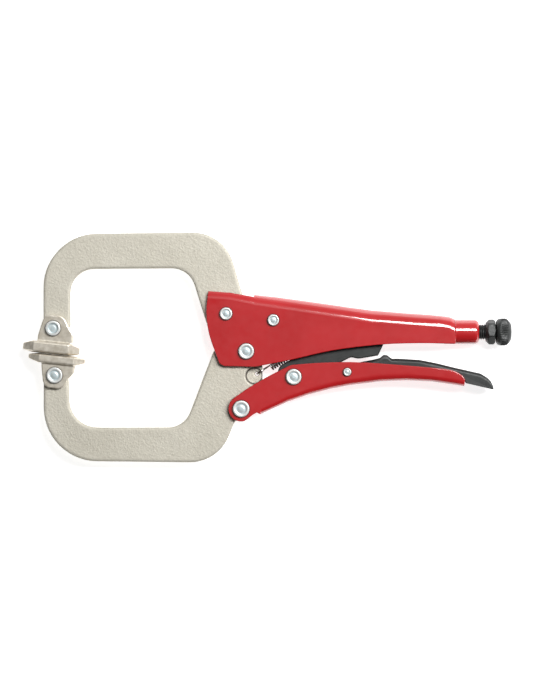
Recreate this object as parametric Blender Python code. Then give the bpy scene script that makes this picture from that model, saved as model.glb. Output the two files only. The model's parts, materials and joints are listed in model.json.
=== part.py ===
"""Locking C-clamp pliers with swivel pads, closed and lying flat on their side.

+X runs from the jaws to the adjusting knob, +Y from the moving to the fixed handle, +Z up.
The origin is on the main pivot's axis, in the plane that the rivet heads rest on.
Lengths below are in millimetres; new_object turns them into metres.
"""
import math

import bmesh
import bpy
from mathutils import Matrix, Vector

MM = 0.001                      # one millimetre in metres
GAP = 0.3                       # clearance between neighbouring pieces
CHORD_ERROR = 0.05              # how far an arc's straight segments may miss the arc

# Thickness, built up either side of the mid-plane
JAW_HALF = 4.5                  # the C jaws are 9 mm plate
CHANNEL_INSIDE = 4.9            # half the clear width between the handles' cheeks
SHEET = 2.6                     # handle sheet
CHANNEL_OUTSIDE = CHANNEL_INSIDE + SHEET
HEAD = 1.5                      # rivet head thickness
HALF = CHANNEL_OUTSIDE + GAP + HEAD
MID = HALF                      # height of the mid-plane above the resting plane
BELOW = -5.0                    # ends of the cutters that go right through
ABOVE = 2 * HALF + 5.0

# Pivots, (x, y)
MAIN_PIVOT = (0.0, 0.0)
HANDLE_PIVOT = (-2.9, -33.1)
LINK_PIVOT = (27.3, -14.7)
LEVER_PIVOT = (58.1, -11.9)
JAW_RIVET_FRONT = (-11.6, 21.6)
JAW_RIVET_REAR = (15.6, 17.9)
UPPER_PAD_PIVOT = (-111.1, 13.2)
LOWER_PAD_PIVOT = (-110.2, -13.8)

# Rivets, shank and head radii
PIVOT_SHANK = 3.2
MAIN_PIVOT_HEAD = 4.5
HANDLE_PIVOT_HEAD = 4.8
JAW_FRONT_SHANK = 2.6
JAW_FRONT_HEAD = 3.6
JAW_REAR_SHANK = 2.4
JAW_REAR_HEAD = 3.3
LINK_SHANK = 3.0
LINK_HEAD = 4.5
LEVER_SHANK = 1.5
LEVER_HEAD = 2.3
PAD_SHANK = 2.4
UPPER_PAD_HEAD = 4.4
LOWER_PAD_HEAD = 4.6

# Adjusting screw, a 9 mm rod with 1.25 mm pitch, on a line along X
SCREW_Y = 11.1
SCREW_RADIUS = 4.5
SCREW_TIP = 88.0
KNOB_START = 144.0
KNOB_END = 152.9
KNOB_RADIUS = 7.8
NUT_START = 138.0
NUT_END = 143.5
NUT_ACROSS_FLATS = 13.0
NUT_TURN = 20.0                 # degrees from a corner on top

# Neck of the fixed handle and the bush pressed into it
NECK_START = 114.0
NECK_END = 134.2
NECK_RADIUS = 7.05
NECK_BORE = 5.7
NECK_MOUTH = 5.0                # where the neck's end is swaged inwards
BUSH_START = 121.0
BUSH_END = 132.4

# Swivel pads; seat and face are the distances from the pivot to the back and to the gripping face
PAD_TILT = -6.0                 # degrees about +Z
PAD_HALF_LENGTH = 16.4          # at the mid-plane
PAD_EDGE_HALF_LENGTH = 10.2     # at its two outer edges
PAD_TIP_HALF_WIDTH = 3.2        # where the ends are square to the length
PAD_BACK_TAPER = 2.0            # how much thinner the tips are at the back
PAD_FACE_TAPER = 1.1            # and at the gripping face
UPPER_PAD_SEAT = 8.0
UPPER_PAD_FACE = 14.8
LOWER_PAD_SEAT = 6.4
LOWER_PAD_FACE = 11.84
EAR_INSIDE = 4.9
EAR_OUTSIDE = 7.4
EAR_LEFT = -8.2                 # how far the ears reach along the pad
UPPER_PAD_EAR_RIGHT = 11.7
LOWER_PAD_EAR_RIGHT = 10.5
EAR_TOP = 7.5                   # past the pivot
EAR_ROOT = 2.0                  # into the bar

# Tension spring, from the moving jaw to a tab inside the fixed handle
SPRING_WIRE = 0.55              # wire radius
SPRING_RADIUS = 2.9             # coil radius to the wire's centre
SPRING_JAW_HOLE = (6.2, -13.1)
SPRING_TAB = (53.9, 17.8)       # centre of the tab's lower web
SPRING_TURNS = 13
JAW_LOOP_RADIUS = 2.8
TAB_LOOP_RADIUS = 2.2
POCKET_CENTRE = (4.6, -14.2)
POCKET_RADIUS = 4.9
POCKET_WEB_HALF = 1.1
HOOK_HOLE = 1.2


# ---------------------------------------------------------------- materials

def make_material(name, colour, roughness, metallic):
    material = bpy.data.materials.new(name)
    material.use_nodes = True
    shader = material.node_tree.nodes["Principled BSDF"]
    shader.inputs["Base Color"].default_value = (*colour, 1.0)
    shader.inputs["Roughness"].default_value = roughness
    shader.inputs["Metallic"].default_value = metallic
    material.diffuse_color = (*colour, 1.0)
    return material


RED_PAINT = ((0.60, 0.02, 0.03), 0.30, 0.0)
PLATED_FORGING = ((0.58, 0.54, 0.46), 0.50, 0.85)
PLATED_PAD = ((0.60, 0.55, 0.45), 0.35, 0.90)
BRIGHT_ZINC = ((0.76, 0.79, 0.80), 0.28, 0.95)
BLACK_OXIDE = ((0.035, 0.04, 0.04), 0.42, 0.60)
SPRING_STEEL = ((0.62, 0.62, 0.60), 0.25, 1.0)


# ---------------------------------------------------------------- outlines

def arc(centre, radius, start, end):
    """Points on a circle from start to end degrees, both included."""
    step = 2 * math.degrees(math.acos(1 - CHORD_ERROR / radius))
    count = max(2, math.ceil(abs(end - start) / step))
    angles = [math.radians(start + (end - start) * i / count) for i in range(count + 1)]
    return [(centre[0] + radius * math.cos(a), centre[1] + radius * math.sin(a)) for a in angles]


def filleted(corners):
    """Closed outline from (x, y, fillet radius) corners."""
    outline = []
    for i, (x, y, radius) in enumerate(corners):
        corner = Vector((x, y))
        before = (Vector(corners[i - 1][:2]) - corner).normalized()
        after = (Vector(corners[(i + 1) % len(corners)][:2]) - corner).normalized()
        half_angle = before.angle(after) / 2
        if radius == 0 or half_angle > math.radians(88):
            outline.append((x, y))
            continue
        centre = corner + (before + after).normalized() * radius / math.sin(half_angle)
        first = corner + before * radius / math.tan(half_angle) - centre
        last = corner + after * radius / math.tan(half_angle) - centre
        start = math.degrees(math.atan2(first.y, first.x))
        turn = math.degrees(math.atan2(first.x * last.y - first.y * last.x, first.dot(last)))
        outline += arc(centre, radius, start, start + turn)
    return outline


def curve_through(points, per_span=3):
    """Catmull-Rom curve through the points, both ends included."""
    ends = [2 * Vector(points[0]) - Vector(points[1]), 2 * Vector(points[-1]) - Vector(points[-2])]
    knots = [ends[0]] + [Vector(p) for p in points] + [ends[1]]
    curve = []
    for a, b, c, d in zip(knots, knots[1:], knots[2:], knots[3:]):
        for i in range(per_span):
            t = i / per_span
            curve.append(b + (c - a) * t / 2 + (2 * a - 5 * b + 4 * c - d) * t**2 / 2
                         + (3 * b - a - 3 * c + d) * t**3 / 2)
    curve.append(knots[-2])
    return [tuple(p) for p in curve]


# ---------------------------------------------------------------- solids

def new_object(name, bm, finish=None):
    """Turn a bmesh in millimetres into a named object; one with no finish is a cutter."""
    bmesh.ops.recalc_face_normals(bm, faces=bm.faces)
    bmesh.ops.scale(bm, vec=(MM, MM, MM), verts=bm.verts)
    mesh = bpy.data.meshes.new(name)
    bm.to_mesh(mesh)
    bm.free()
    mesh.shade_smooth()
    mesh.set_sharp_from_angle(angle=math.radians(35))
    piece = bpy.data.objects.new(name, mesh)
    bpy.context.collection.objects.link(piece)
    if finish:
        mesh.materials.append(make_material(name, *finish))
    else:
        piece.hide_render = True
        piece.display_type = "WIRE"
    return piece


def prism(outline, low, high):
    """Outline in X and Y, extruded from low to high in Z."""
    bm = bmesh.new()
    face = bm.faces.new([bm.verts.new((x, y, low)) for x, y in outline])
    raised = bmesh.ops.extrude_face_region(bm, geom=[face])["geom"]
    top = [item for item in raised if isinstance(item, bmesh.types.BMVert)]
    bmesh.ops.translate(bm, vec=(0, 0, high - low), verts=top)
    return bm


def lathe(profile, segments=24, ring=False):
    """Profile of (radius, z) turned about Z; a ring's profile closes on itself."""
    bm = bmesh.new()
    loops = []
    for radius, z in profile:
        angles = [math.tau * i / segments for i in range(segments)]
        loops.append([bm.verts.new((radius * math.cos(a), radius * math.sin(a), z)) for a in angles])
    pairs = list(zip(loops, loops[1:]))
    if ring:
        pairs.append((loops[-1], loops[0]))
    else:
        bm.faces.new(loops[0])
        bm.faces.new(loops[-1])
    for near, far in pairs:
        for i in range(segments):
            j = (i + 1) % segments
            bm.faces.new((near[i], near[j], far[j], far[i]))
    return bm


def turn_to_x(bm):
    """Lay a shape turned about Z onto the screw's axis, its z becoming x."""
    turn = Matrix.Translation((0, SCREW_Y, MID)) @ Matrix.Rotation(math.radians(90), 4, "Y")
    bmesh.ops.transform(bm, matrix=turn, verts=bm.verts)
    return bm


def channel_section(half_width, corner, sheet):
    """One half-loop pair of a U section as (height below the spine, z offset)."""
    quarter = [math.radians(90 * i / 5) for i in range(6)]

    def half_loop(width, radius, depth):
        left = [(depth + radius - radius * math.sin(a), -width + radius - radius * math.cos(a))
                for a in quarter]
        return left + [(drop, -z) for drop, z in reversed(left)]

    inner_corner = max(corner - sheet, 0.8)
    return half_loop(half_width, corner, 0), half_loop(half_width - sheet, inner_corner, sheet)


def channel(stations, open_edge, sheet):
    """U-section shell lofted through (x, spine y, half width, corner radius) stations."""
    bm = bmesh.new()
    down = 1 if stations[0][1] > open_edge else -1
    rings = []
    for x, spine, half_width, corner in stations:
        outer, inner = channel_section(half_width, corner, sheet)
        loops = []
        for loop, width in ((outer, half_width), (inner, half_width - sheet)):
            points = [(spine - down * drop, z) for drop, z in loop]
            points = [(open_edge, -width)] + points + [(open_edge, width)]
            loops.append([bm.verts.new((x, y, MID + z)) for y, z in points])
        rings.append(loops)
    count = len(rings[0][0])
    for ring in (rings[0], rings[-1]):
        for i in range(count - 1):
            bm.faces.new((ring[0][i], ring[0][i + 1], ring[1][i + 1], ring[1][i]))
    for near, far in zip(rings, rings[1:]):
        for side in (0, 1):
            for i in range(count - 1):
                bm.faces.new((near[side][i], near[side][i + 1], far[side][i + 1], far[side][i]))
        for end in (0, -1):
            bm.faces.new((near[0][end], near[1][end], far[1][end], far[0][end]))
    return bm


def combine(piece, tool, operation):
    modifier = piece.modifiers.new(operation.title(), "BOOLEAN")
    modifier.operation = operation
    modifier.solver = "EXACT"
    modifier.object = tool


def drill(piece, place, radius, segments=24):
    """Round hole along Z, right through the piece."""
    bm = lathe([(radius, BELOW), (radius, ABOVE)], segments)
    bmesh.ops.translate(bm, vec=(*place, 0), verts=bm.verts)
    combine(piece, new_object(f"{piece.name}_drill", bm), "DIFFERENCE")


def cut_box(piece, low, high):
    outline = [(low[0], low[1]), (high[0], low[1]), (high[0], high[1]), (low[0], high[1])]
    combine(piece, new_object(f"{piece.name}_slot", prism(outline, low[2], high[2])), "DIFFERENCE")


def soften(piece, width, segments=2):
    bevel = piece.modifiers.new("Bevel", "BEVEL")
    bevel.width = width * MM
    bevel.segments = segments
    bevel.limit_method = "ANGLE"
    bevel.angle_limit = math.radians(50)


# ---------------------------------------------------------------- jaws and pads

def c_jaw(name, corners, pad_pivot):
    jaw = new_object(name, prism(filleted(corners), MID - JAW_HALF, MID + JAW_HALF), PLATED_FORGING)
    soften(jaw, 0.9)
    drill(jaw, pad_pivot, PAD_SHANK + GAP)
    return jaw


def fixed_jaw():
    corners = [(-116.8, 7.4, 5.6), (-105.6, 7.4, 5.2), (-101.3, 14.5, 2.9), (-101.4, 47.3, 13.8),
               (-32.9, 47.9, 13.8), (-20.6, 8.8, 1.7), (22.9, 9.9, 2.3), (22.9, 23.4, 1.7),
               (0.1, 25.0, 1.1), (-12.7, 68.6, 24.1), (-116.8, 67.4, 31.0)]
    jaw = c_jaw("fixed_jaw", corners, UPPER_PAD_PIVOT)
    drill(jaw, JAW_RIVET_FRONT, JAW_FRONT_SHANK + GAP)
    drill(jaw, JAW_RIVET_REAR, JAW_REAR_SHANK + GAP)
    return jaw


def moving_jaw():
    corners = [(-115.6, -8.3, 5.4), (-104.7, -8.3, 5.4), (-102.3, -17.1, 3.4), (-101.6, -43.9, 16.1),
               (-35.7, -43.9, 13.8), (-19.0, -0.4, 4.6), (-13.9, 5.9, 3.4), (-5.9, 7.8, 4.6),
               (7.6, 7.8, 6.9), (9.4, -8.5, 2.9), (9.4, -21.1, 2.9), (3.9, -30.3, 3.4),
               (3.9, -40.1, 6.3), (-6.4, -40.1, 1.7), (-16.2, -64.2, 24.1), (-116.6, -63.1, 31.0),
               (-116.7, -19.4, 3.4)]
    jaw = c_jaw("moving_jaw", corners, LOWER_PAD_PIVOT)
    drill(jaw, MAIN_PIVOT, PIVOT_SHANK + GAP)
    drill(jaw, HANDLE_PIVOT, PIVOT_SHANK + GAP)
    lean = math.degrees(math.atan2(SPRING_TAB[1] - SPRING_JAW_HOLE[1], SPRING_TAB[0] - SPRING_JAW_HOLE[0]))
    rim = arc(POCKET_CENTRE, POCKET_RADIUS, lean + 90, lean + 270)
    reach = 10 * Vector((math.cos(math.radians(lean)), math.sin(math.radians(lean))))
    mouth = [tuple(Vector(rim[-1]) + reach), tuple(Vector(rim[0]) + reach)]
    for low, high in ((0, MID - POCKET_WEB_HALF), (MID + POCKET_WEB_HALF, 2 * HALF)):
        pocket = prism(rim + mouth, low, high)
        combine(jaw, new_object("moving_jaw_pocket", pocket), "DIFFERENCE")
    drill(jaw, SPRING_JAW_HOLE, HOOK_HOLE, 12)
    return jaw


def swivel_pad(name, pivot, face_side, seat, face, ear_right):
    """Bar with tapered tips and two ears that straddle the jaw."""
    half_plan = [(PAD_EDGE_HALF_LENGTH, -HALF), (PAD_HALF_LENGTH, -PAD_TIP_HALF_WIDTH),
                 (PAD_HALF_LENGTH, PAD_TIP_HALF_WIDTH), (PAD_EDGE_HALF_LENGTH, HALF)]
    block = prism(half_plan + [(-x, -z) for x, z in half_plan], seat, face)
    stand_up = Matrix.Translation((0, 0, MID)) @ Matrix.Rotation(math.radians(90), 4, "X")
    bmesh.ops.transform(block, matrix=stand_up, verts=block.verts)
    tip = PAD_HALF_LENGTH + 0.1
    half_side = [(PAD_EDGE_HALF_LENGTH, -seat + 0.1, 2.0), (tip, -seat - PAD_BACK_TAPER, 1.0),
                 (tip, -face + PAD_FACE_TAPER, 1.0), (PAD_EDGE_HALF_LENGTH, -face - 0.1, 2.0)]
    sides = half_side + [(-x, y, fillet) for x, y, fillet in reversed(half_side)]
    taper = prism(filleted(sides), BELOW, ABOVE)
    root = -seat - EAR_ROOT
    ear = filleted([(EAR_LEFT, root, 0), (EAR_LEFT, -4.8, 1.5), (-5.7, EAR_TOP, 5.0), (5.6, EAR_TOP, 4.8),
                    (ear_right - 3.0, 1.6, 2.0), (ear_right, -2.2, 3.0), (ear_right, root, 0)])
    ears = [prism(ear, MID + side * EAR_INSIDE, MID + side * EAR_OUTSIDE) for side in (-1, 1)]
    turn = Matrix.Translation((*pivot, 0)) @ Matrix.Rotation(math.radians(PAD_TILT), 4, "Z")
    if face_side > 0:
        turn = turn @ Matrix.Diagonal((1, -1, 1, 1))
    for bm in [block, taper] + ears:
        bmesh.ops.transform(bm, matrix=turn, verts=bm.verts)
    pad = new_object(name, block, PLATED_PAD)
    soften(pad, 1.1, 3)
    combine(pad, new_object(f"{name}_taper", taper), "INTERSECT")
    for plate in ears:
        combine(pad, new_object(f"{name}_ear", plate), "UNION")
    drill(pad, pivot, PAD_SHANK + GAP)
    return pad


# ---------------------------------------------------------------- handles

def fixed_handle():
    full = CHANNEL_OUTSIDE
    stations = [(-26.0, 35.9, full, 5.4), (-9.3, 34.8, full, 5.6), (4.4, 32.9, full, 6.6),
                (5.1, 32.6, full, 6.6), (17.0, 31.3, full, 7.2), (29.8, 29.6, full, 7.4),
                (44.0, 27.6, full, 7.4), (59.7, 25.3, full, 7.4), (72.3, 23.6, full, 7.4),
                (91.3, 22.1, 7.5, 7.4), (104.0, 21.2, 7.45, 7.35), (112.0, 20.5, 7.4, 7.3),
                (117.3, 19.8, 7.35, 7.25), (120.4, 18.4, 7.3, 7.2)]
    handle = new_object("fixed_handle", channel(stations, -14.0, SHEET), RED_PAINT)
    front = curve_through([(-21.7, 36.0), (-23.0, 22.6), (-21.3, 9.4), (-16.1, -5.2)])
    corner = arc((-11.6, -3.6), 5.0, 205, 265)
    bottom = curve_through([(5.1, -9.0), (26.9, -4.7), (48.8, 0.3), (75.8, 3.7), (99.9, 4.6), (119.4, 4.2)])
    cheek = front + corner + bottom + [(122.0, 4.4), (122.0, 40.0), (-21.7, 40.0)]
    combine(handle, new_object("fixed_handle_cheek", prism(cheek, BELOW, ABOVE)), "INTERSECT")
    swage = 2.6
    rounding = [math.radians(90 * i / 4) for i in range(5)]
    centre = NECK_RADIUS - swage
    neck = [(NECK_RADIUS, NECK_START)]
    neck += [(max(NECK_MOUTH, centre + swage * math.cos(a)), NECK_END - swage + swage * math.sin(a))
             for a in rounding]
    neck += [(NECK_MOUTH, NECK_END - 1.0), (NECK_BORE, NECK_END - 1.2), (NECK_BORE, NECK_START)]
    combine(handle, new_object("fixed_handle_neck", turn_to_x(lathe(neck, 32, ring=True))), "UNION")
    tab = [(-0.8, -0.9), (0.8, -0.9), (0.8, 7.0), (-0.8, 7.0)]
    tab = [(SPRING_TAB[0] + x, SPRING_TAB[1] + y) for x, y in tab]
    combine(handle, new_object("fixed_handle_tab", prism(tab, MID - 2.4, MID + 2.4)), "UNION")
    hook_hole = lathe([(HOOK_HOLE, -2), (HOOK_HOLE, 2)], 12)
    across = Matrix.Translation((SPRING_TAB[0], SPRING_TAB[1] + TAB_LOOP_RADIUS, MID))
    across = across @ Matrix.Rotation(math.radians(90), 4, "Y")
    bmesh.ops.transform(hook_hole, matrix=across, verts=hook_hole.verts)
    combine(handle, new_object("fixed_handle_hook_hole", hook_hole), "DIFFERENCE")
    cut_box(handle, (-30, 20, MID - CHANNEL_INSIDE), (4.5, 40, MID + CHANNEL_INSIDE))
    drill(handle, MAIN_PIVOT, PIVOT_SHANK + GAP)
    drill(handle, JAW_RIVET_FRONT, JAW_FRONT_SHANK + GAP)
    drill(handle, JAW_RIVET_REAR, JAW_REAR_SHANK + GAP)
    return handle


def moving_handle():
    rear_half = 8.4
    stations = [(-14.0, -46.0, CHANNEL_OUTSIDE, 3.6), (3.6, -46.0, CHANNEL_OUTSIDE, 3.6),
                (8.6, -36.0, CHANNEL_OUTSIDE, 3.6), (11.4, -34.9, CHANNEL_OUTSIDE, 3.6),
                (23.8, -29.2, CHANNEL_OUTSIDE, 3.8), (36.1, -25.0, CHANNEL_OUTSIDE, 4.0),
                (48.8, -21.7, CHANNEL_OUTSIDE, 4.2), (59.3, -19.7, CHANNEL_OUTSIDE, 4.2),
                (77.5, -17.4, 7.8, 4.2), (92.2, -16.8, 8.1, 4.2), (106.8, -17.5, rear_half, 4.2),
                (121.6, -19.6, rear_half, 4.0), (127.0, -20.6, rear_half, 4.0)]
    handle = new_object("moving_handle", channel(stations, 4.0, SHEET), RED_PAINT)
    top = curve_through([(-7.4, -27.0), (5.1, -18.7), (21.9, -9.8), (30.0, -7.5), (59.7, -6.2),
                         (88.4, -7.9), (114.2, -10.2), (121.0, -11.9)])
    ear = arc(HANDLE_PIVOT, 7.4, -75, -235)
    ear.reverse()
    rear = [(124.6, -14.2), (125.8, -16.3), (125.4, -24.0)]
    below = [(60.0, -24.0), (20.0, -34.0), (9.0, -36.9), (7.6, -36.2), (6.2, -35.3), (4.2, -36.4)]
    cheek = list(reversed(below)) + list(reversed(rear)) + list(reversed(top)) + ear
    combine(handle, new_object("moving_handle_cheek", prism(cheek, BELOW, ABOVE)), "INTERSECT")
    cut_box(handle, (-20, -50, MID - CHANNEL_INSIDE), (9.2, 0, MID + CHANNEL_INSIDE))
    drill(handle, HANDLE_PIVOT, PIVOT_SHANK + GAP)
    drill(handle, LINK_PIVOT, LINK_SHANK + GAP)
    drill(handle, LEVER_PIVOT, LEVER_SHANK + GAP, 16)
    return handle


# ---------------------------------------------------------------- toggle and release

def toggle_link():
    corners = [(21.7, -19.4, 5.0), (17.6, -14.0, 3.0), (19.0, -8.7, 5.0), (24.0, -5.6, 4.0),
               (32.0, -2.6, 6.0), (56.8, 10.5, 30.0), (75.0, 15.9, 4.0), (84.6, 16.4, 4.8),
               (84.6, 6.6, 4.8), (79.4, 4.6, 3.0), (76.0, -2.5, 0.8), (64.5, -4.4, 6.0),
               (60.3, -3.4, 3.0), (55.0, -6.2, 6.0), (45.3, -9.6, 12.0), (34.5, -19.6, 5.0)]
    link_half = 3.0
    link = new_object("toggle_link", prism(filleted(corners), MID - link_half, MID + link_half), BLACK_OXIDE)
    soften(link, 0.5, 1)
    drill(link, LINK_PIVOT, LINK_SHANK + GAP)
    return link


def release_lever():
    lever_sheet = 1.6
    top = [(52.0, -9.2, 4.5), (60.8, -7.6, 4.5), (66.6, -6.1, 4.5), (73.0, -4.9, 4.5), (77.0, -3.9, 4.5),
           (79.2, -2.1, 4.5), (81.2, -2.3, 4.5), (83.8, -4.3, 4.6), (88.4, -4.3, 4.8), (99.9, -5.0, 5.2),
           (110.1, -7.0, 5.4), (119.0, -9.2, 5.6), (127.8, -11.2, 5.6), (134.9, -12.8, 5.6),
           (138.9, -15.2, 5.6), (141.0, -17.4, 5.6), (142.2, -19.9, 5.6), (142.7, -22.6, 5.6)]
    stations = [(x, y, half, 2.2) for x, y, half in top]
    lever = new_object("release_lever", channel(stations, -28.0, lever_sheet), BLACK_OXIDE)
    ear = arc(LEVER_PIVOT, 3.3, 90, 270)
    belly = curve_through([(62.0, -14.4), (72.0, -11.6), (88.4, -10.9), (105.7, -11.8), (117.2, -14.0),
                           (125.6, -16.2)])
    tail = [(126.8, -18.5), (132.2, -19.7), (140.2, -21.6), (142.0, -22.1), (143.2, -21.2), (143.6, 0.0)]
    flange = ear + belly + tail + [(LEVER_PIVOT[0], 0.0)]
    combine(lever, new_object("release_lever_flange", prism(flange, BELOW, ABOVE)), "INTERSECT")
    drill(lever, LEVER_PIVOT, LEVER_SHANK + GAP, 16)
    return lever


def tension_spring():
    """Close-wound spring with a loop at each end, as one bent wire."""
    start = Vector((*SPRING_JAW_HOLE, MID))
    end = Vector((*SPRING_TAB, MID))
    along = (end - start).normalized()
    up = Vector((0, 0, 1))
    across = up.cross(along)
    jaw_centre = start + along * JAW_LOOP_RADIUS
    route = []
    for i in range(13):
        angle = math.radians(250 * i / 12 - 70)
        route.append(jaw_centre - along * JAW_LOOP_RADIUS * math.cos(angle)
                     + up * JAW_LOOP_RADIUS * math.sin(angle))
    coil_start = start + along * 10.5
    coil_end = end - along * 8.0
    points_per_turn = 10
    total = SPRING_TURNS * points_per_turn
    for i in range(total + 1):
        angle = math.tau * i / points_per_turn + math.pi / 2
        centre = coil_start.lerp(coil_end, i / total)
        route.append(centre + SPRING_RADIUS * (math.cos(angle) * across + math.sin(angle) * up))
    lead_angle = math.degrees(math.atan2(along.y, along.x)) + 180
    for i in range(13):
        angle = math.radians(lead_angle - 20 - 270 * i / 12)
        route.append(end + TAB_LOOP_RADIUS * Vector((math.cos(angle), math.sin(angle), 0)))
    curve = bpy.data.curves.new("tension_spring", "CURVE")
    curve.dimensions = "3D"
    curve.bevel_depth = SPRING_WIRE * MM
    curve.bevel_resolution = 1
    curve.use_fill_caps = True
    spline = curve.splines.new("POLY")
    spline.points.add(len(route) - 1)
    for point, place in zip(spline.points, route):
        point.co = (*(place * MM), 1.0)
    curve.materials.append(make_material("tension_spring", *SPRING_STEEL))
    spring = bpy.data.objects.new("tension_spring", curve)
    bpy.context.collection.objects.link(spring)
    return spring


# ---------------------------------------------------------------- screw, nut, bush, rivets

def threaded_bush():
    outer = NECK_BORE - GAP
    bore = SCREW_RADIUS + GAP
    profile = [(bore, BUSH_START), (outer, BUSH_START), (outer, BUSH_END), (bore, BUSH_END)]
    return new_object("threaded_bush", turn_to_x(lathe(profile, 24, ring=True)), BLACK_OXIDE)


def adjusting_screw():
    crown = [(-1.9, 0.0), (-0.9, 0.5), (-0.4, 1.1), (-0.1, 2.2), (0.0, 3.4), (-0.05, 5.1), (-0.45, 6.2),
             (-0.95, 6.8), (-1.6, 7.5), (-2.6, 8.3), (-4.2, 8.9)]
    profile = [(SCREW_RADIUS - 1.0, SCREW_TIP), (SCREW_RADIUS, SCREW_TIP + 1.0), (SCREW_RADIUS, KNOB_START)]
    profile += [(KNOB_RADIUS + inset, KNOB_START + along) for inset, along in crown]
    return new_object("adjusting_screw", turn_to_x(lathe(profile, 30)), BLACK_OXIDE)


def lock_nut():
    """Hexagon nut with turned chamfers at both ends."""
    corner = NUT_ACROSS_FLATS / 2 / math.cos(math.radians(30))
    hexagon = lathe([(corner, NUT_START), (corner, NUT_END)], 6)
    turn = Matrix.Rotation(math.radians(NUT_TURN), 3, "Z")
    bmesh.ops.rotate(hexagon, cent=(0, 0, 0), matrix=turn, verts=hexagon.verts)
    nut = new_object("lock_nut", turn_to_x(hexagon), BLACK_OXIDE)
    inscribed = NUT_ACROSS_FLATS / 2
    blank = [(inscribed - 1.3, NUT_START - 0.1), (corner - 0.2, NUT_START + 2.0),
             (corner - 0.2, NUT_END - 0.9), (inscribed - 0.2, NUT_END + 0.1)]
    combine(nut, new_object("lock_nut_blank", turn_to_x(lathe(blank, 36))), "INTERSECT")
    bore = [(SCREW_RADIUS + GAP, NUT_START - 2), (SCREW_RADIUS + GAP, NUT_END + 2)]
    combine(nut, new_object("lock_nut_bore", turn_to_x(lathe(bore))), "DIFFERENCE")
    return nut


def rivet(name, place, shank, head, grip_half=CHANNEL_OUTSIDE):
    """Solid rivet along Z: flat head below, dished head above."""
    under = MID - grip_half - GAP
    over = MID + grip_half + GAP
    top = 2 * HALF
    profile = [(head - 0.5, 0.0), (head, 0.5), (head, under), (shank, under), (shank, over),
               (head, over), (head, top - 0.5), (head - 0.4, top - 0.1), (head - 0.7, top),
               (0.66 * head, top), (0.56 * head, top - 0.4)]
    bm = lathe(profile)
    bmesh.ops.translate(bm, vec=(*place, 0), verts=bm.verts)
    return new_object(name, bm, BRIGHT_ZINC)


def rivets():
    return {
        "main_pivot_rivet": rivet("main_pivot_rivet", MAIN_PIVOT, PIVOT_SHANK, MAIN_PIVOT_HEAD),
        "jaw_rivet_front": rivet("jaw_rivet_front", JAW_RIVET_FRONT, JAW_FRONT_SHANK, JAW_FRONT_HEAD),
        "jaw_rivet_rear": rivet("jaw_rivet_rear", JAW_RIVET_REAR, JAW_REAR_SHANK, JAW_REAR_HEAD),
        "handle_pivot_rivet": rivet("handle_pivot_rivet", HANDLE_PIVOT, PIVOT_SHANK, HANDLE_PIVOT_HEAD),
        "link_rivet": rivet("link_rivet", LINK_PIVOT, LINK_SHANK, LINK_HEAD),
        "lever_rivet": rivet("lever_rivet", LEVER_PIVOT, LEVER_SHANK, LEVER_HEAD),
        "upper_pad_rivet": rivet("upper_pad_rivet", UPPER_PAD_PIVOT, PAD_SHANK, UPPER_PAD_HEAD, EAR_OUTSIDE),
        "lower_pad_rivet": rivet("lower_pad_rivet", LOWER_PAD_PIVOT, PAD_SHANK, LOWER_PAD_HEAD, EAR_OUTSIDE),
    }


# ---------------------------------------------------------------- assembly

def carry(parent, pieces):
    """Parent the pieces to an empty without moving them."""
    for piece in pieces:
        piece.parent = parent
        piece.matrix_parent_inverse = Matrix.Translation(-parent.location)


def pivot_empty(name, place, parent=None):
    """Empty on a joint's axis; its location stays in world coordinates."""
    empty = bpy.data.objects.new(name, None)
    empty.location = Vector(place) * MM
    empty.empty_display_size = 0.01
    bpy.context.collection.objects.link(empty)
    if parent:
        carry(parent, [empty])
    return empty


def build():
    for old in list(bpy.data.objects):
        bpy.data.objects.remove(old, do_unlink=True)
    pins = rivets()
    root = pivot_empty("fixed_body", (*MAIN_PIVOT, MID))
    carry(root, [fixed_handle(), threaded_bush(), fixed_jaw(), tension_spring(), pins["main_pivot_rivet"],
                 pins["jaw_rivet_front"], pins["jaw_rivet_rear"], pins["upper_pad_rivet"]])
    jaw = pivot_empty("moving_jaw_body", (*MAIN_PIVOT, MID), root)
    carry(jaw, [moving_jaw(), pins["handle_pivot_rivet"], pins["lower_pad_rivet"]])
    handle = pivot_empty("moving_handle_body", (*HANDLE_PIVOT, MID), jaw)
    carry(handle, [moving_handle(), pins["link_rivet"], pins["lever_rivet"]])
    carry(pivot_empty("toggle_link_body", (*LINK_PIVOT, MID), handle), [toggle_link()])
    carry(pivot_empty("release_lever_body", (*LEVER_PIVOT, MID), handle), [release_lever()])
    nut = pivot_empty("lock_nut_body", (NUT_START, SCREW_Y, MID), root)
    carry(nut, [lock_nut()])
    carry(pivot_empty("adjusting_screw_body", (SCREW_TIP, SCREW_Y, MID), nut), [adjusting_screw()])
    upper = swivel_pad("upper_pad", UPPER_PAD_PIVOT, -1, UPPER_PAD_SEAT, UPPER_PAD_FACE,
                       UPPER_PAD_EAR_RIGHT)
    carry(pivot_empty("upper_pad_body", (*UPPER_PAD_PIVOT, MID), root), [upper])
    lower = swivel_pad("lower_pad", LOWER_PAD_PIVOT, 1, LOWER_PAD_SEAT, LOWER_PAD_FACE,
                       LOWER_PAD_EAR_RIGHT)
    carry(pivot_empty("lower_pad_body", (*LOWER_PAD_PIVOT, MID), jaw), [lower])


build()
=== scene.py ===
"""Looks of the locking C-clamp pliers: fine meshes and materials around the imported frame."""
import json
import math

import bmesh
import bpy
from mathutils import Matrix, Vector, noise


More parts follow.
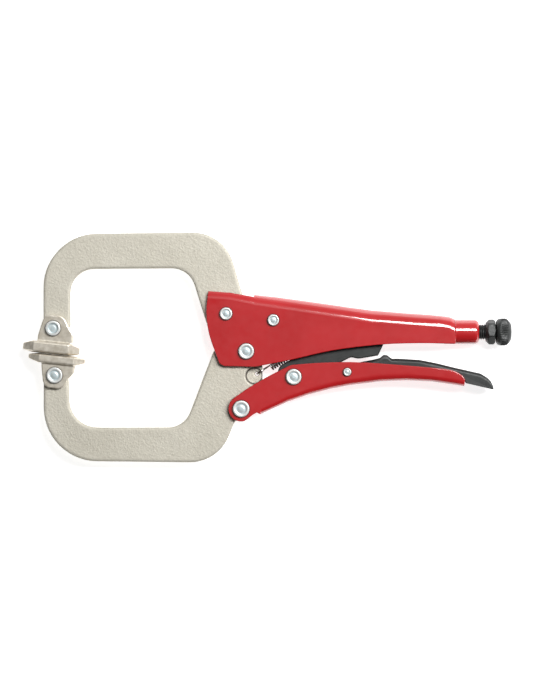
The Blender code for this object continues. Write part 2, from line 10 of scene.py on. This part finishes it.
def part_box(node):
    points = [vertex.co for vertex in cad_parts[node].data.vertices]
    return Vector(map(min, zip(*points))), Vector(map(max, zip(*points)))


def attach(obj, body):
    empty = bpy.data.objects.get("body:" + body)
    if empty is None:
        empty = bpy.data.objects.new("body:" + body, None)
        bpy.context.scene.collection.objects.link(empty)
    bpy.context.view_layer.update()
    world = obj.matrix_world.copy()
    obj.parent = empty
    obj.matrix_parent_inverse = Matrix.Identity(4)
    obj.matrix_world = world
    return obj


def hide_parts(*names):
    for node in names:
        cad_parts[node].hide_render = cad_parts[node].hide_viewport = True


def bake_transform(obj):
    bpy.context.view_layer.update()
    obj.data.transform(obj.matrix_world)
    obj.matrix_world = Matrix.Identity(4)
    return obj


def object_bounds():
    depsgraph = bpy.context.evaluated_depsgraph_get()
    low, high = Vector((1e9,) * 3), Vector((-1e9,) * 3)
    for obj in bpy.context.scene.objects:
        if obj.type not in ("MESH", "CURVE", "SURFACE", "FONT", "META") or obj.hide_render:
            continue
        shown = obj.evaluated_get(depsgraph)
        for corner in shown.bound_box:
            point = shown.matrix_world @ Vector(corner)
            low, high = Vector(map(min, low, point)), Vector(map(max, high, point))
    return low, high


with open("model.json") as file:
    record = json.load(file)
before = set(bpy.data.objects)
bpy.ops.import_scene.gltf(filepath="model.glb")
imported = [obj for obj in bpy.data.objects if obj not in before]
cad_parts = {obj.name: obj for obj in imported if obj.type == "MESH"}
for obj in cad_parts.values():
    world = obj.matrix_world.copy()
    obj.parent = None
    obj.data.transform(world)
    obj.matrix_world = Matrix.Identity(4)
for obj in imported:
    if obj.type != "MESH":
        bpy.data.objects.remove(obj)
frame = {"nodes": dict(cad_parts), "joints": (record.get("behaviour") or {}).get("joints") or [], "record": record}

CAD_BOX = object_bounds()
MM = 0.001
RIVET_ZONES = "zones"
JOINTS = {joint["name"]: joint for joint in frame["joints"]}
MID = JOINTS["jaw_open"]["pos_m"][2]        # height of the mid-plane
BODY_OF = {node: body for body, nodes in frame["record"]["behaviour"]["bodies"].items()
           for node in nodes}
SLOT_OF = {part["node"]: part["material_slot"] for part in frame["record"]["subparts"]}
RIVETS = [node for node, slot in SLOT_OF.items() if slot == "bright_zinc"]

# Brightness of the studio's walls by direction: (cosine to the axis, factor)
WALLS = {"Z": [(-1.0, 0.6), (0.10, 0.6), (0.40, 0.26), (0.90, 0.22), (0.97, 0.16)],
         "X": [(-0.60, 0.05), (-0.20, 1.0)],
         "Y": [(-0.60, 0.25), (-0.2, 1.0), (0.03, 1.0), (0.045, 0.05), (0.13, 0.05), (0.20, 1.0)]}
FLOOR_GLOW = 0.8

# Tension spring
WIRE = 0.55 * MM
JAW_LOOP = 2.8 * MM
TAB_LOOP = 2.2 * MM
JAW_LEAD, TAB_LEAD = 9.0 * MM, 7.0 * MM     # from each anchor to the first coil
TURNS, PER_TURN, LOOP_STEPS = 27, 20, 25
SPRING_LOW, SPRING_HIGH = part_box("tension_spring")
HOOK = Vector((SPRING_LOW.x + WIRE, SPRING_LOW.y + WIRE, MID))
TAB = Vector((SPRING_HIGH.x - TAB_LOOP - WIRE, SPRING_HIGH.y - TAB_LOOP - WIRE, MID))
POCKET = HOOK - Vector((1.6, 1.1, 0)) * MM
POCKET_RADIUS = 5.0 * MM
POCKET_DEPTH = 1.2 * MM

# Adjusting screw
PITCH = 1.25 * MM
THREAD_DEPTH = 0.68 * MM
ROD = 4.5 * MM
KNURL_TEETH, KNURL_POINTS = 44, 264
KNOB_LENGTH = 8.9 * MM
THREAD_POINTS, STEPS_PER_PITCH = 40, 8
CHAMFER_LENGTH, CHAMFER_DEPTH = 1.2 * MM, 1.0 * MM
# Knob outline as (distance from the nut's side, inset from the largest radius, knurl depth), mm
KNOB = [(0.0, 1.9, 0.0), (0.5, 0.9, 0.0), (1.1, 0.4, 0.0), (2.0, 0.12, 0.0), (2.7, 0.03, 0.15),
        (3.2, 0.0, 0.40), (5.1, 0.0, 0.42), (6.3, 0.35, 0.40), (6.9, 0.85, 0.28), (7.5, 1.55, 0.0),
        (8.3, 2.55, 0.0), (8.8, 3.7, 0.0), (8.9, 4.6, 0.0), (8.6, 5.2, 0.0)]


# ---------------------------------------------------------------- materials

class Paint:
    """A material under construction: a Principled shader and short ways to feed it."""

    def __init__(self, name, colour, roughness, metallic):
        self.material = bpy.data.materials.new(name)
        self.material.use_nodes = True
        self.tree = self.material.node_tree
        self.shader = self.tree.nodes["Principled BSDF"]
        self.shader.inputs["Base Color"].default_value = (*colour, 1)
        self.shader.inputs["Roughness"].default_value = roughness
        self.shader.inputs["Metallic"].default_value = metallic
        coordinates = self.tree.nodes.new("ShaderNodeTexCoord")
        self.place = coordinates.outputs["Object"]

    def set(self, **values):
        for name, value in values.items():
            self.shader.inputs[name.replace("_", " ")].default_value = value
        return self

    def node(self, kind, inputs, **settings):
        made = self.tree.nodes.new(kind)
        for name, value in settings.items():
            setattr(made, name, value)
        for name, value in inputs.items():
            if isinstance(value, bpy.types.NodeSocket):
                self.tree.links.new(value, made.inputs[name])
            else:
                made.inputs[name].default_value = value
        return made

    def grain(self, size, detail=3.0, roughness=0.55, stretch=(1, 1, 1)):
        """Noise from 0 to 1 whose features are about size metres across."""
        mapping = self.node("ShaderNodeMapping", {"Vector": self.place, "Scale": stretch})
        made = self.node("ShaderNodeTexNoise", {"Vector": mapping.outputs[0], "Scale": 1 / size,
                                                "Detail": detail, "Roughness": roughness})
        return made.outputs["Fac"]

    def pits(self, size):
        """Distance to the nearest cell centre, for pebbled or pitted skins."""
        made = self.node("ShaderNodeTexVoronoi", {"Vector": self.place, "Scale": 1 / size})
        return made.outputs["Distance"]

    def ramp(self, factor, stops):
        """Colour ramp through (position, colour) stops."""
        made = self.node("ShaderNodeValToRGB", {"Fac": factor})
        elements = made.color_ramp.elements
        while len(elements) < len(stops):
            elements.new(0.5)
        for element, (position, colour) in zip(elements, stops):
            element.position = position
            element.color = (*colour, 1)
        return made.outputs["Color"]

    def spread(self, factor, low, high, start=0.3, end=0.7):
        made = self.node("ShaderNodeMapRange", {"Value": factor, "From Min": start, "From Max": end,
                                                "To Min": low, "To Max": high})
        return made.outputs["Result"]

    def mix(self, factor, first, second, blend="MIX"):
        made = self.node("ShaderNodeMix", {"Factor": factor}, data_type="RGBA", blend_type=blend)
        colours = [s for s in made.inputs if s.type == "RGBA"]
        for socket, value in zip(colours, (first, second)):
            if isinstance(value, bpy.types.NodeSocket):
                self.tree.links.new(value, socket)
            else:
                socket.default_value = (*value, 1)
        return [s for s in made.outputs if s.type == "RGBA"][0]

    def rings(self, bands, reach):
        """1 inside each (x, y, inner radius, outer radius) ring, falling to 0 within reach metres."""
        flat = self.node("ShaderNodeVectorMath", {0: self.place, 1: (1, 1, 0)}, operation="MULTIPLY")
        total = 0.0
        for x, y, inner, outer in bands:
            away = self.node("ShaderNodeVectorMath", {0: flat.outputs[0], 1: (x, y, 0)},
                             operation="DISTANCE").outputs["Value"]
            rise = self.spread(away, 0, 1, inner - reach, inner)
            fall = self.spread(away, 1, 0, outer, outer + reach)
            ring = self.node("ShaderNodeMath", {0: rise, 1: fall}, operation="MINIMUM").outputs[0]
            total = self.node("ShaderNodeMath", {0: total, 1: ring}, operation="MAXIMUM").outputs[0]
        return total

    def edge_wear(self, start=0.52, end=0.60):
        """1 on convex edges, 0 elsewhere."""
        geometry = self.node("ShaderNodeNewGeometry", {})
        return self.spread(geometry.outputs["Pointiness"], 0, 1, start, end)

    def colour(self, socket):
        self.tree.links.new(socket, self.shader.inputs["Base Color"])
        return self

    def rough(self, socket):
        self.tree.links.new(socket, self.shader.inputs["Roughness"])
        return self

    def bump(self, *layers):
        """Stack (height socket, strength, depth in metres) layers."""
        normal = None
        for height, strength, depth in layers:
            inputs = {"Height": height, "Strength": strength, "Distance": depth}
            if normal:
                inputs["Normal"] = normal
            normal = self.node("ShaderNodeBump", inputs).outputs["Normal"]
        self.tree.links.new(normal, self.shader.inputs["Normal"])
        return self


def round_heads(rivets):
    """Bands for Paint.rings over the rivets' heads."""
    boxes = [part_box(node) for node in rivets]
    return [((low.x + high.x) / 2, (low.y + high.y) / 2, 0, (high.x - low.x) / 2) for low, high in boxes]


def red_paint():
    """Glossy powder coat with faint orange peel."""
    paint = Paint("red_paint", (0.52, 0.008, 0.011), 0.36, 0.0)
    tone = paint.ramp(paint.grain(0.02, 2), [(0.35, (0.49, 0.006, 0.009)), (0.65, (0.53, 0.009, 0.013))])
    # Painted shade: the paint is darkened under and just round each rivet head, where shade falls at the head's
    # edge.
    painted_shade = paint.rings(round_heads(node for node in RIVETS if "pad" not in node), 0.7 * MM)
    paint.colour(paint.mix(painted_shade, tone, (0.10, 0.012, 0.012)))
    paint.rough(paint.spread(paint.grain(0.004, 4), 0.30, 0.42))
    paint.bump((paint.grain(0.0030, 2), 0.10, 0.0003), (paint.grain(0.0007, 2), 0.04, 0.0001))
    return paint.set(Coat_Weight=1.0, Coat_Roughness=0.06, Coat_IOR=1.9, Specular_IOR_Level=0.3).material


def plated_forging():
    """Dull nickel over a shot-blasted forging: fine pebbles, specks, painted shade on the spring pocket's wall and
    round its hook hole.
    """
    paint = Paint("plated_forging", (0.62, 0.59, 0.50), 0.5, 0.45)
    tone = paint.ramp(paint.grain(0.03, 3), [(0.3, (0.60, 0.57, 0.485)), (0.7, (0.66, 0.63, 0.545))])
    speck = paint.ramp(paint.grain(0.0009, 4, 0.7), [(0.30, (0.84, 0.83, 0.81)), (0.5, (1.0, 1.0, 1.0))])
    tone = paint.mix(1.0, tone, speck, "MULTIPLY")
    # Painted shade: dark bands on the pocket's wall and round the hook hole, where shade falls.
    pocket = (POCKET.x, POCKET.y, POCKET_RADIUS - 0.5 * MM, POCKET_RADIUS - 0.3 * MM)
    painted_shade = paint.rings([pocket, (HOOK.x, HOOK.y, 0, 0.9 * MM)], 0.7 * MM)
    paint.colour(paint.mix(painted_shade, tone, (0.11, 0.10, 0.09)))
    paint.rough(paint.spread(paint.grain(0.0015, 4), 0.56, 0.70))
    paint.bump((paint.grain(0.0011, 2, 0.5), 0.45, 0.0004), (paint.pits(0.0007), 0.2, 0.0002))
    return paint.material


def plated_pad():
    """Satin nickel, a little yellow, smoother than the jaws."""
    paint = Paint("plated_pad", (0.60, 0.56, 0.46), 0.32, 0.6)
    tone = paint.ramp(paint.grain(0.003, 2), [(0.3, (0.66, 0.60, 0.49)), (0.7, (0.90, 0.84, 0.73))])
    # Painted shade: a dark ring round the pad rivets' heads, where shade falls at their edges.
    painted_shade = paint.rings(round_heads(node for node in RIVETS if "pad" in node), 0.6 * MM)
    paint.colour(paint.mix(painted_shade, tone, (0.16, 0.14, 0.12)))
    paint.bump((paint.grain(0.0008, 2), 0.12, 0.0001), (paint.grain(0.004, 2), 0.10, 0.0003))
    return paint.material


def bright_zinc():
    """Zinc plating on cold-headed rivets: bright rim, bluer dish, painted shade under the head's edge."""
    paint = Paint("bright_zinc", (0.70, 0.76, 0.77), 0.4, 0.45)
    zone = paint.node("ShaderNodeVertexColor", {}, layer_name=RIVET_ZONES).outputs["Color"]
    mottle = paint.ramp(paint.grain(0.0012, 3), [(0.3, (0.90, 0.92, 0.92)), (0.7, (1.0, 1.0, 1.0))])
    paint.colour(paint.mix(1.0, zone, mottle, "MULTIPLY"))
    paint.rough(paint.spread(paint.grain(0.0008, 3), 0.34, 0.46))
    paint.bump((paint.grain(0.0007, 2), 0.08, 0.0001))
    return paint.material


def black_oxide():
    """Satin black oxide with a faint grey rub on its edges."""
    paint = Paint("black_oxide", (0.03, 0.032, 0.032), 0.42, 0.25)
    tone = paint.ramp(paint.grain(0.005, 4), [(0.3, (0.017, 0.0195, 0.019)), (0.7, (0.029, 0.032, 0.031))])
    rub = paint.mix(paint.edge_wear(), tone, (0.10, 0.10, 0.10))
    paint.colour(rub)
    paint.rough(paint.spread(paint.grain(0.0015, 4), 0.34, 0.5))
    paint.bump((paint.grain(0.0009, 3), 0.15, 0.0002))
    return paint.set(Specular_IOR_Level=0.55).material


def spring_steel():
    """Bright drawn wire."""
    paint = Paint("spring_steel", (0.62, 0.62, 0.60), 0.25, 1.0)
    paint.rough(paint.spread(paint.grain(0.001, 3), 0.2, 0.35))
    paint.bump((paint.grain(0.0004, 2), 0.1, 0.0001))
    return paint.material


MATERIALS = {make.__name__: make() for make in (red_paint, plated_forging, plated_pad, bright_zinc,
                                                black_oxide, spring_steel)}


# ---------------------------------------------------------------- mesh helpers

def add_piece(name, mesh, node):
    """Give a finished mesh its material and let it stand for a CAD node."""
    piece = bpy.data.objects.new(name, mesh)
    bpy.context.scene.collection.objects.link(piece)
    mesh.materials.clear()
    mesh.materials.append(MATERIALS[SLOT_OF[node]])
    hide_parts(node)
    return piece


def evaluated(piece):
    """Replace a piece's mesh by what its modifiers make of it."""
    graph = bpy.context.evaluated_depsgraph_get()
    mesh = bpy.data.meshes.new_from_object(piece.evaluated_get(graph))
    piece.modifiers.clear()
    piece.data = mesh
    return mesh


def cad_mesh(node, name):
    """A copy of a CAD node's mesh with its split corners joined and its flat faces merged."""
    bm = bmesh.new()
    bm.from_mesh(frame["nodes"][node].data)
    bmesh.ops.remove_doubles(bm, verts=bm.verts, dist=1e-6)
    bmesh.ops.dissolve_limit(bm, angle_limit=math.radians(0.4), verts=bm.verts, edges=bm.edges)
    mesh = bpy.data.meshes.new(name)
    bm.to_mesh(mesh)
    bm.free()
    return mesh


def smooth(mesh, angle):
    mesh.shade_smooth()
    mesh.set_sharp_from_angle(angle=math.radians(angle))


def rounded_copy(node, name, width, segments=3, angle=35):
    """The CAD shape with its sharp edges rounded."""
    piece = add_piece(name, cad_mesh(node, name), node)
    bevel = piece.modifiers.new("Bevel", "BEVEL")
    bevel.width = width
    bevel.segments = segments
    bevel.limit_method = "ANGLE"
    bevel.angle_limit = math.radians(angle)
    bevel.use_clamp_overlap = False
    evaluated(piece)
    smooth(piece.data, angle)
    weighted = piece.modifiers.new("Weighted", "WEIGHTED_NORMAL")
    weighted.keep_sharp = True
    evaluated(piece)
    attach(piece, BODY_OF[node])
    return piece


def lathe_mesh(name, profile, centre, segments):
    """Profile of (radius, height) turned about an upright axis through centre; it ends at radius 0."""
    bm = bmesh.new()
    rings = []
    for radius, height in profile:
        angles = [math.tau * i / segments for i in range(segments)]
        if radius == 0:
            rings.append([bm.verts.new((0, 0, height))])
        else:
            rings.append([bm.verts.new((radius * math.cos(a), radius * math.sin(a), height))
                          for a in angles])
    for near, far in zip(rings, rings[1:]):
        for i in range(segments):
            j = (i + 1) % segments
            corners = [near[i % len(near)], near[j % len(near)], far[j % len(far)], far[i % len(far)]]
            bm.faces.new(list(dict.fromkeys(corners)))
    bmesh.ops.translate(bm, vec=centre, verts=bm.verts)
    bmesh.ops.recalc_face_normals(bm, faces=bm.faces)
    mesh = bpy.data.meshes.new(name)
    bm.to_mesh(mesh)
    bm.free()
    return mesh


# ---------------------------------------------------------------- pieces

def remeshed_copy(node, name, voxel, wave):
    """The CAD shape, evenly remeshed, softly rounded and with shallow waves of that height."""
    piece = add_piece(name, cad_mesh(node, name), node)
    remesh = piece.modifiers.new("Remesh", "REMESH")
    remesh.mode = "VOXEL"
    remesh.voxel_size = voxel
    relax = piece.modifiers.new("Relax", "SMOOTH")
    relax.factor = 0.5
    relax.iterations = 3
    mesh = evaluated(piece)
    normals = [vertex.normal.copy() for vertex in mesh.vertices]
    for vertex, normal in zip(mesh.vertices, normals):
        slow = noise.noise(vertex.co / (12 * MM))
        fine = noise.noise(vertex.co / (1.6 * MM))
        vertex.co += normal * wave * (slow + 0.25 * fine)
    mesh.shade_smooth()
    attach(piece, BODY_OF[node])
    return piece


def pocketed_jaw(node, name):
    """Jaw with a shallow round hollow in its upper face, where the spring's hook goes in."""
    piece = remeshed_copy(node, name, 0.5 * MM, 0.08 * MM)
    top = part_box(node)[1].z
    for vertex in piece.data.vertices:
        away = math.hypot(vertex.co.x - POCKET.x, vertex.co.y - POCKET.y)
        share = min(1, max(0, (POCKET_RADIUS - away) / (0.7 * MM)))
        height = min(1, max(0, (vertex.co.z - MID) / (top - MID)))
        vertex.co.z -= POCKET_DEPTH * share * height
    return piece


def swivel_pad(node, name):
    """Pad whose gripping face is rebated along both outer edges."""
    faces = frame["nodes"][node].data.polygons
    side = 1 if node == "lower_pad" else -1
    grip = max((face for face in faces if face.normal.y * side > 0.98), key=lambda face: face.area)
    centre, normal = grip.center.copy(), grip.normal.copy()
    piece = remeshed_copy(node, name, 0.3 * MM, 0.03 * MM)
    for vertex in piece.data.vertices:
        depth = (vertex.co - centre).dot(normal) / MM
        outward = abs(vertex.co.z - MID) / MM
        share = min(1, max(0, (depth + 1.5) / 0.9)) * min(1, max(0, (outward - 2.5) / 0.6))
        vertex.co -= normal * 0.5 * MM * share
    return piece


def rivet(node, dish, dome):
    """Headed rivet: rounded rims, a dished upper head with a low dome in it, a flat lower head."""
    low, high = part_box(node)
    centre = ((low.x + high.x) / 2, (low.y + high.y) / 2, 0)
    head = (high.x - low.x) / 2
    corners = [vertex.co for vertex in frame["nodes"][node].data.vertices]
    inner = [z for z in (corner.z for corner in corners) if 1.2 * MM < z < high.z - 1.2 * MM]
    under, over = min(inner), max(inner)
    shank = min(math.hypot(c.x - centre[0], c.y - centre[1]) for c in corners if abs(c.z - under) < 1e-6)
    rim = 0.55 * MM
    arc = [math.radians(90 * i / 5) for i in range(6)]
    # The head's side, underside and shank take a dark zone colour: painted shade where the head overhangs the
    # part.
    painted_shade, bright, blue = (0.10, 0.085, 0.075), (0.84, 0.85, 0.83), (0.60, 0.69, 0.71)
    profile = [(0, low.z, bright)]
    profile += [(head - rim + rim * math.sin(a), low.z + rim - rim * math.cos(a), bright) for a in arc]
    profile += [(head, under, painted_shade), (shank, under, painted_shade), (shank, over, painted_shade), (head, over, painted_shade)]
    profile += [(head - rim + rim * math.cos(a), high.z - rim + rim * math.sin(a),
                 painted_shade if i < 2 else bright) for i, a in enumerate(arc)]
    profile += [(0.74 * head, high.z, bright), (0.68 * head, high.z - 0.3 * dish, bright),
                (0.62 * head, high.z - 0.9 * dish, blue), (0.56 * head, high.z - dish, blue),
                (0.42 * head, high.z - dish, blue), (0.36 * head, high.z - dish + 0.5 * dome, bright),
                (0.30 * head, high.z - dish + 0.85 * dome, blue), (0.15 * head, high.z - dish + dome, blue),
                (0, high.z - dish + dome, blue)]
    segments = 64
    mesh = lathe_mesh(node, [(radius, height) for radius, height, tint in profile], centre, segments)
    zones = mesh.color_attributes.new(RIVET_ZONES, "FLOAT_COLOR", "POINT")
    tints = []
    for radius, height, tint in profile:
        tints += [(*tint, 1)] * (1 if radius == 0 else segments)
    for entry, tint in zip(zones.data, tints):
        entry.color = tint
    piece = add_piece(f"{node}_head", mesh, node)
    smooth(piece.data, 40)
    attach(piece, BODY_OF[node])
    return piece


def thread_radius(x, angle):
    """Radius of a 60 degree thread with small flats at crest and root."""
    phase = (x / PITCH - angle / math.tau) % 1
    ramp = min(1, max(0, abs(phase - 0.5) * 2.5 - 0.125))
    return ROD - THREAD_DEPTH * ramp


def ring_x(bm, x, centre, radii):
    """Loop of vertices round an axis along X, one for each radius."""
    angles = [math.tau * k / len(radii) for k in range(len(radii))]
    return [bm.verts.new((x, centre[1] + radius * math.cos(a), centre[2] + radius * math.sin(a)))
            for a, radius in zip(angles, radii)]


def skin(bm, loops):
    """Quads between loops of equal length, and a flat face at each end."""
    for near, far in zip(loops, loops[1:]):
        for i in range(len(near)):
            j = (i + 1) % len(near)
            bm.faces.new((near[i], near[j], far[j], far[i]))
    bm.faces.new(loops[0])
    bm.faces.new(loops[-1])


def adjusting_screw():
    """Threaded rod and a knob with a rounded crown and a straight-knurled band."""
    node = "adjusting_screw"
    low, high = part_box(node)
    axis = JOINTS["screw_turn"]["pos_m"]
    largest = (high.z - low.z) / 2
    knob_start = high.x - KNOB_LENGTH
    bm = bmesh.new()
    around = [math.tau * k / THREAD_POINTS for k in range(THREAD_POINTS)]
    steps = int((knob_start - low.x) / (PITCH / STEPS_PER_PITCH))
    loops = []
    for i in range(steps + 1):
        along = (knob_start + 0.4 * MM - low.x) * i / steps
        tip = max(0, 1 - along / CHAMFER_LENGTH) * CHAMFER_DEPTH
        loops.append(ring_x(bm, low.x + along, axis,
                            [min(thread_radius(along, a), ROD - tip) for a in around]))
    skin(bm, loops)
    teeth = [0.5 - 0.5 * math.cos(math.tau * KNURL_TEETH * k / KNURL_POINTS)
             for k in range(KNURL_POINTS)]
    loops = []
    for offset, inset, knurl in KNOB:
        radii = [largest - (inset + knurl * groove) * MM for groove in teeth]
        loops.append(ring_x(bm, knob_start + offset * MM, axis, radii))
    skin(bm, loops)
    bmesh.ops.recalc_face_normals(bm, faces=bm.faces)
    mesh = bpy.data.meshes.new("knurled_screw")
    bm.to_mesh(mesh)
    bm.free()
    piece = add_piece("knurled_screw", mesh, node)
    smooth(mesh, 40)
    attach(piece, BODY_OF[node])
    return piece


def tension_spring():
    """Close-wound wire between the moving jaw and the fixed handle's tab."""
    node = "tension_spring"
    coil = (SPRING_HIGH.z - SPRING_LOW.z) / 2 - WIRE
    along = (TAB - HOOK).normalized()
    up = Vector((0, 0, 1))
    across = up.cross(along)
    centre = HOOK + along * JAW_LOOP
    route = []
    for i in range(LOOP_STEPS):
        angle = math.radians(250 * i / (LOOP_STEPS - 1) - 70)
        route.append(centre + JAW_LOOP * (up * math.sin(angle) - along * math.cos(angle)))
    coil_start = HOOK + along * JAW_LEAD
    coil_end = TAB - along * TAB_LEAD
    for i in range(TURNS * PER_TURN + 1):
        angle = math.tau * i / PER_TURN + math.pi / 2
        middle = coil_start.lerp(coil_end, i / (TURNS * PER_TURN))
        route.append(middle + coil * (math.cos(angle) * across + math.sin(angle) * up))
    lead = math.degrees(math.atan2(along.y, along.x)) + 180
    for i in range(LOOP_STEPS):
        angle = math.radians(lead - 20 - 270 * i / (LOOP_STEPS - 1))
        route.append(TAB + TAB_LOOP * Vector((math.cos(angle), math.sin(angle), 0)))
    curve = bpy.data.curves.new("spring_wire", "CURVE")
    curve.dimensions = "3D"
    curve.bevel_depth = WIRE
    curve.bevel_resolution = 2
    curve.use_fill_caps = True
    spline = curve.splines.new("POLY")
    spline.points.add(len(route) - 1)
    for point, place in zip(spline.points, route):
        point.co = (*place, 1)
    shape = bpy.data.objects.new("spring_shape", curve)
    bpy.context.scene.collection.objects.link(shape)
    bpy.context.view_layer.update()
    mesh = bpy.data.meshes.new_from_object(shape.evaluated_get(bpy.context.evaluated_depsgraph_get()))
    bpy.data.objects.remove(shape)
    mesh.name = "spring_wire"
    piece = add_piece("spring_wire", mesh, node)
    mesh.shade_smooth()
    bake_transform(piece)
    return piece


rounded_copy("fixed_handle", "upper_handle_shell", 0.45 * MM)
rounded_copy("moving_handle", "lower_handle_shell", 0.45 * MM)
rounded_copy("toggle_link", "link_plate", 0.3 * MM, 2)
rounded_copy("release_lever", "lever_shell", 0.35 * MM, 2)
rounded_copy("lock_nut", "hexagon_nut", 0.2 * MM, 2, 25)
rounded_copy("threaded_bush", "neck_bush", 0.2 * MM, 2)
remeshed_copy("fixed_jaw", "upper_c_jaw", 0.5 * MM, 0.08 * MM)
pocketed_jaw("moving_jaw", "lower_c_jaw")
swivel_pad("upper_pad", "upper_swivel_pad")
swivel_pad("lower_pad", "lower_swivel_pad")
for node in sorted(frame["nodes"]):
    if node.endswith("_rivet") or node.startswith("jaw_rivet"):
        hollow = node == "upper_pad_rivet"
        rivet(node, (0.9 if hollow else 0.35) * MM, (0.1 if hollow else 0.2) * MM)
adjusting_screw()
tension_spring()


# ---------------------------------------------------------------- stage

def floor():
    """Pale light table: it scatters the studio's light and glows a little itself."""
    mesh = bpy.data.meshes.new("floor")
    bm = bmesh.new()
    bmesh.ops.create_grid(bm, x_segments=2, y_segments=2, size=6)
    bm.to_mesh(mesh)
    bm.free()
    plane = bpy.data.objects.new("floor", mesh)
    plane.location.z = CAD_BOX[0][2] - 0.0002
    table = Paint("floor", (0.72, 0.72, 0.72), 0.9, 0.0)
    table.set(Emission_Color=(1, 1, 1, 1), Emission_Strength=FLOOR_GLOW)
    mesh.materials.append(table.material)
    bpy.context.scene.collection.objects.link(plane)


def area_light(name, place, target, size, power):
    light = bpy.data.lights.new(name, "AREA")
    light.shape = "RECTANGLE"
    light.size, light.size_y = size
    light.energy = power
    lamp = bpy.data.objects.new(name, light)
    lamp.location = place
    lamp.rotation_euler = (Vector(target) - Vector(place)).to_track_quat("-Z", "Y").to_euler()
    bpy.context.scene.collection.objects.link(lamp)


def dark_card(name, place, along, length):
    """Low black card standing on the table, seen only in reflections."""
    foot = CAD_BOX[0][2]
    half = Vector(along) * length / 2
    corners = [Vector((*place, foot)) - half, Vector((*place, foot)) + half]
    corners += [corner + Vector((0, 0, 0.12)) for corner in reversed(corners)]
    mesh = bpy.data.meshes.new(name)
    mesh.from_pydata([tuple(corner) for corner in corners], [], [(0, 1, 2, 3)])
    mesh.materials.append(Paint(name, (0.01, 0.01, 0.01), 0.9, 0.0).material)
    card = bpy.data.objects.new(name, mesh)
    card.visible_camera = False
    card.visible_diffuse = False
    card.visible_shadow = False
    bpy.context.scene.collection.objects.link(card)


def studio_walls():
    """Studio seen in reflections: white walls, darker overhead and on the left."""
    world = bpy.data.worlds.new("studio")
    world.use_nodes = True
    tree = world.node_tree
    links = tree.links
    direction = tree.nodes.new("ShaderNodeTexCoord").outputs["Generated"]
    split = tree.nodes.new("ShaderNodeSeparateXYZ")
    links.new(direction, split.inputs[0])
    level = None
    for axis, stops in WALLS.items():
        band = tree.nodes.new("ShaderNodeValToRGB")
        half = tree.nodes.new("ShaderNodeMath")
        half.operation = "MULTIPLY_ADD"
        links.new(split.outputs[axis], half.inputs[0])
        half.inputs[1].default_value = 0.5
        half.inputs[2].default_value = 0.5
        links.new(half.outputs[0], band.inputs["Fac"])
        elements = band.color_ramp.elements
        while len(elements) < len(stops):
            elements.new(0.5)
        for element, (place, grey) in zip(elements, stops):
            element.position = 0.5 + place / 2
            element.color = (grey, grey, grey, 1)
        if level:
            product = tree.nodes.new("ShaderNodeMath")
            product.operation = "MULTIPLY"
            links.new(level, product.inputs[0])
            links.new(band.outputs["Color"], product.inputs[1])
            level = product.outputs[0]
        else:
            level = band.outputs["Color"]
    background = tree.nodes["Background"]
    background.inputs["Color"].default_value = (1, 1, 1, 1)
    links.new(level, background.inputs["Strength"])
    bpy.context.scene.world = world


def camera():
    """Straight above; the width it sees is measured on the handles' upper faces."""
    distance = 2.5
    width_seen = 0.3105
    aim_x, aim_y = 0.0137, 0.0007           # middle of the view, from the main pivot
    pivot = JOINTS["jaw_open"]["pos_m"]
    lens = bpy.data.cameras.new("camera")
    lens.sensor_fit = "HORIZONTAL"
    lens.sensor_width = 36
    lens.lens = lens.sensor_width * distance / width_seen
    lens.clip_start = 0.01
    eye = bpy.data.objects.new("camera", lens)
    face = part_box("fixed_handle")[1].z
    eye.location = (pivot[0] + aim_x, pivot[1] + aim_y, face + distance)
    bpy.context.scene.collection.objects.link(eye)
    bpy.context.scene.camera = eye


floor()
studio_walls()
dark_card("card_left", (-0.21, 0.0), (0, 1, 0), 0.5)
dark_card("card_front", (0.0, -0.21), (1, 0, 0), 0.7)
area_light("strip", (0.98, 0.60, 1.50), (0.98, 0.0, 0.0), (1.60, 0.515), 46)
camera()
bpy.context.scene.view_settings.view_transform = "Standard"
